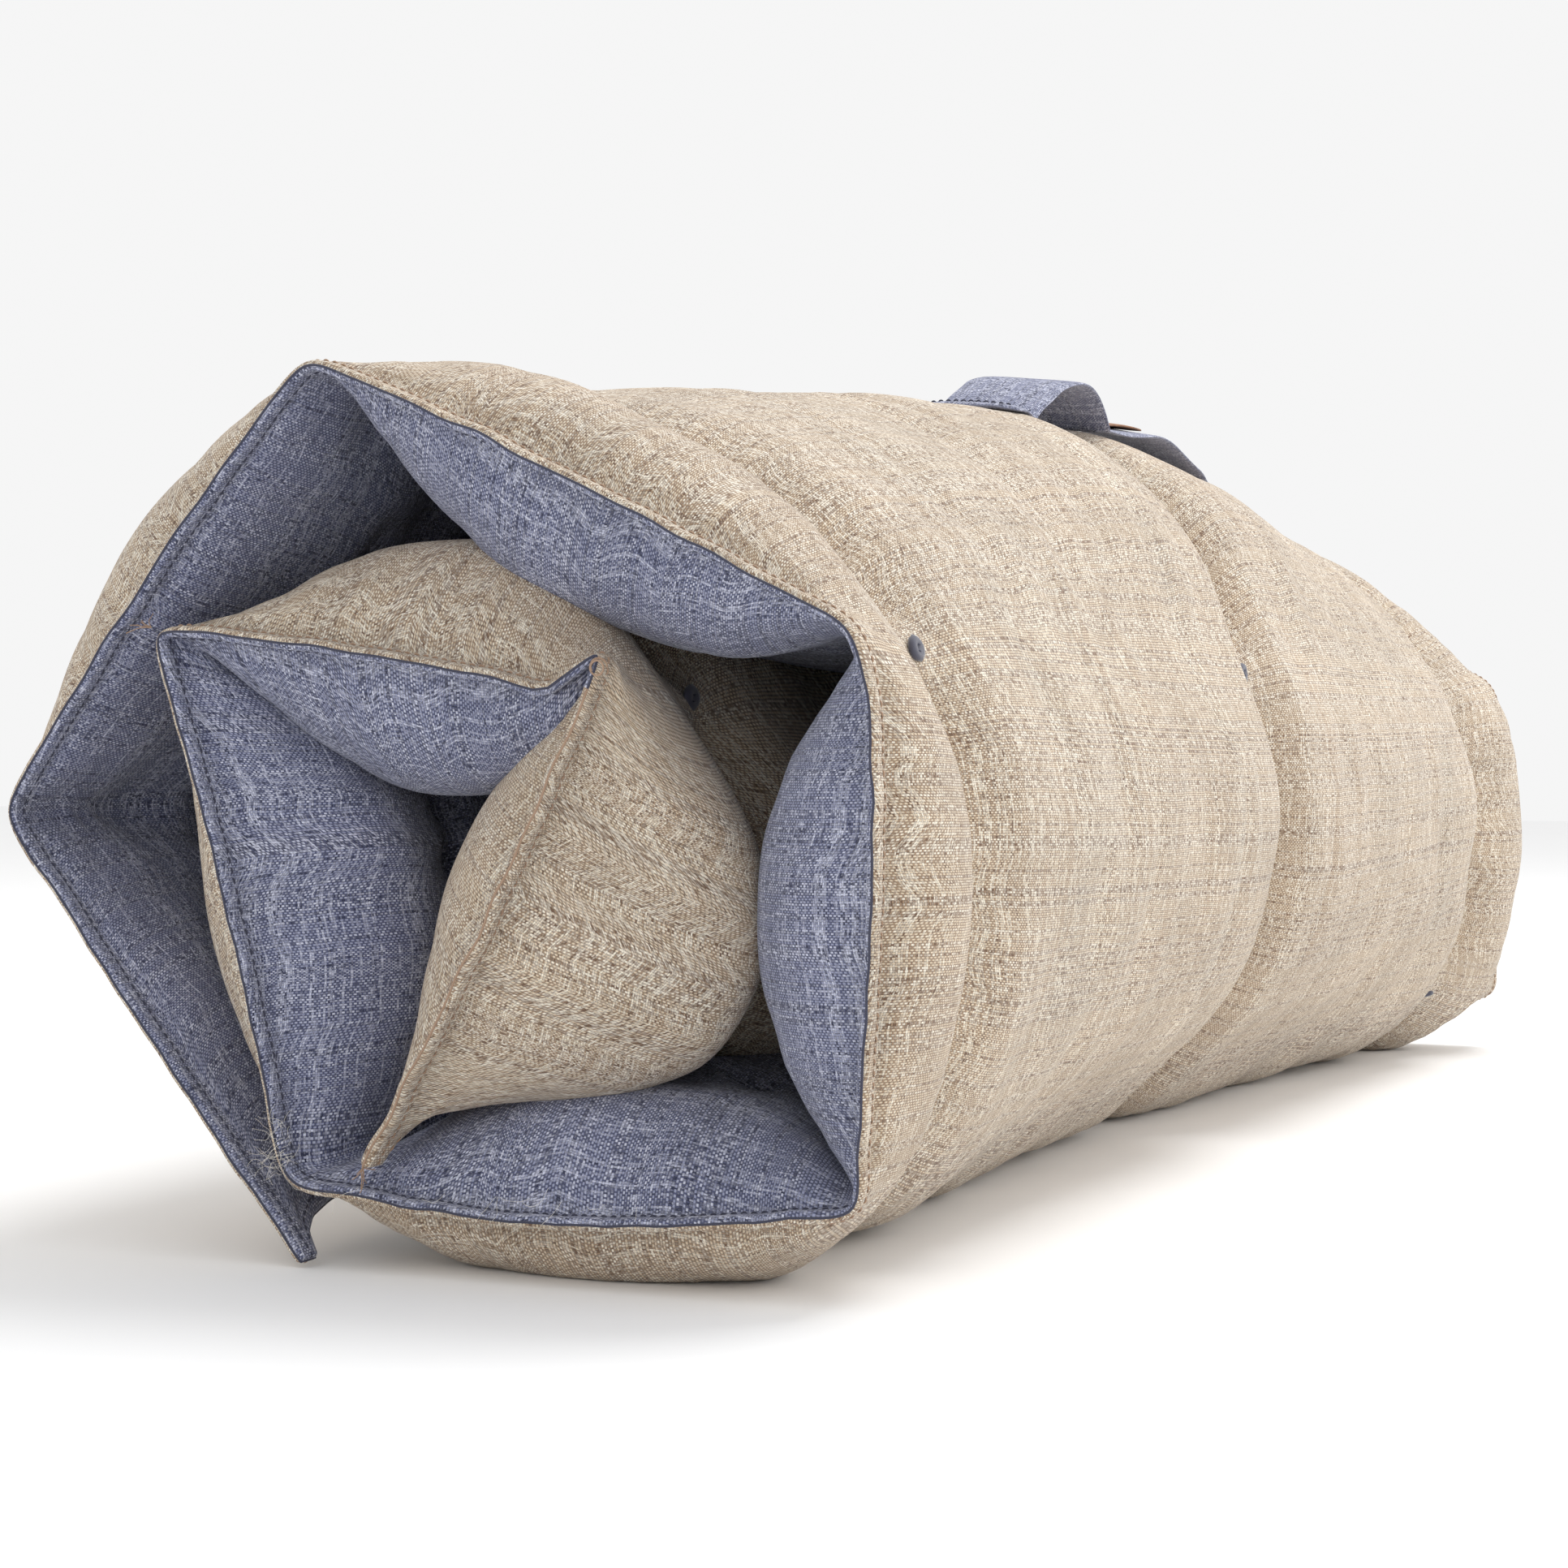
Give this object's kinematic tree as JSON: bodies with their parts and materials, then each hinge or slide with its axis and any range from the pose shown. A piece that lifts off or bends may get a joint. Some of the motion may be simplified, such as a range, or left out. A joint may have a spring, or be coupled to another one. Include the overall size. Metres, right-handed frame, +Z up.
{
  "type": "futon mattress",
  "caption": "Rolled-up tufted futon mattress: quilted panels in one strip, two-tone cloth over wool, folding at tufted seams, with a carry strap and a plain leather patch",
  "frame": {"origin": "middle of the footprint on the ground under the rolled mattress", "axes": "+Z up; +Y along the roll's axis, from the near end to the far end; +X to the side where the strip's third fold from its outer end lies"},
  "size_m": [0.3505, 0.9, 0.3216],
  "materials": {
    "beige_cloth": "woven linen-look cloth, warm beige flecked with lighter and browner threads",
    "blue_cloth": "woven linen-look cloth, grey-blue flecked with pale and dark blue threads",
    "wool": "loose carded sheep's wool, off-white",
    "thread": "dark blue-black waxed sewing thread",
    "tuft_button": "dark felt and thread button",
    "patch_leather": "tan leather, plain, cut edges"
  },
  "bodies": {
    "panel_1": {"panel_1_outer_cover": "beige_cloth", "panel_1_inner_cover": "blue_cloth", "panel_1_wool_filling": "wool", "panel_1_edge_topstitch": "thread", "outer_hem_topstitch": "thread"},
    "panel_2": {"panel_2_outer_cover": "beige_cloth", "panel_2_inner_cover": "blue_cloth", "panel_2_wool_filling": "wool", "panel_2_edge_topstitch": "thread", "fold_1_tuft_buttons": "tuft_button", "fold_1_tie_threads": "thread"},
    "panel_3": {"panel_3_outer_cover": "beige_cloth", "panel_3_inner_cover": "blue_cloth", "panel_3_wool_filling": "wool", "panel_3_edge_topstitch": "thread", "fold_2_tuft_buttons": "tuft_button", "fold_2_tie_threads": "thread", "carry_strap": "blue_cloth", "strap_stitching": "thread", "leather_patch": "patch_leather"},
    "core": {"panel_4_outer_cover": "beige_cloth", "panel_4_inner_cover": "blue_cloth", "panel_4_wool_filling": "wool", "panel_4_edge_topstitch": "thread", "panel_5_outer_cover": "beige_cloth", "panel_5_inner_cover": "blue_cloth", "panel_5_wool_filling": "wool", "panel_5_edge_topstitch": "thread", "panel_6_outer_cover": "beige_cloth", "panel_6_inner_cover": "blue_cloth", "panel_6_wool_filling": "wool", "panel_6_edge_topstitch": "thread", "panel_7_outer_cover": "beige_cloth", "panel_7_inner_cover": "blue_cloth", "panel_7_wool_filling": "wool", "panel_7_edge_topstitch": "thread", "panel_8_outer_cover": "beige_cloth", "panel_8_inner_cover": "beige_cloth", "panel_8_wool_filling": "wool", "panel_8_edge_topstitch": "thread", "fold_3_tuft_buttons": "tuft_button", "fold_3_tie_threads": "thread", "fold_4_tuft_buttons": "tuft_button", "fold_4_tie_threads": "thread", "fold_5_tuft_buttons": "tuft_button", "fold_5_tie_threads": "thread", "fold_6_tuft_buttons": "tuft_button", "fold_6_tie_threads": "thread", "fold_7_tuft_buttons": "tuft_button", "fold_7_tie_threads": "thread", "inner_hem_topstitch": "thread"}
  },
  "joints": [
    {"name": "fold_1", "type": "hinge", "parent": "panel_2", "child": "panel_1", "pos_m": [-0.16631, 0, 0.14513], "axis": [0, 1, 0], "range_deg": [0, 79]},
    {"name": "fold_2", "type": "hinge", "parent": "panel_3", "child": "panel_2", "pos_m": [-0.04736, 0, 0.28943], "axis": [0, 1, 0], "range_deg": [0, 75]},
    {"name": "fold_3", "type": "hinge", "parent": "core", "child": "panel_3", "pos_m": [0.13753, 0, 0.20321], "axis": [0, 1, 0], "range_deg": [0, 63]}
  ]
}
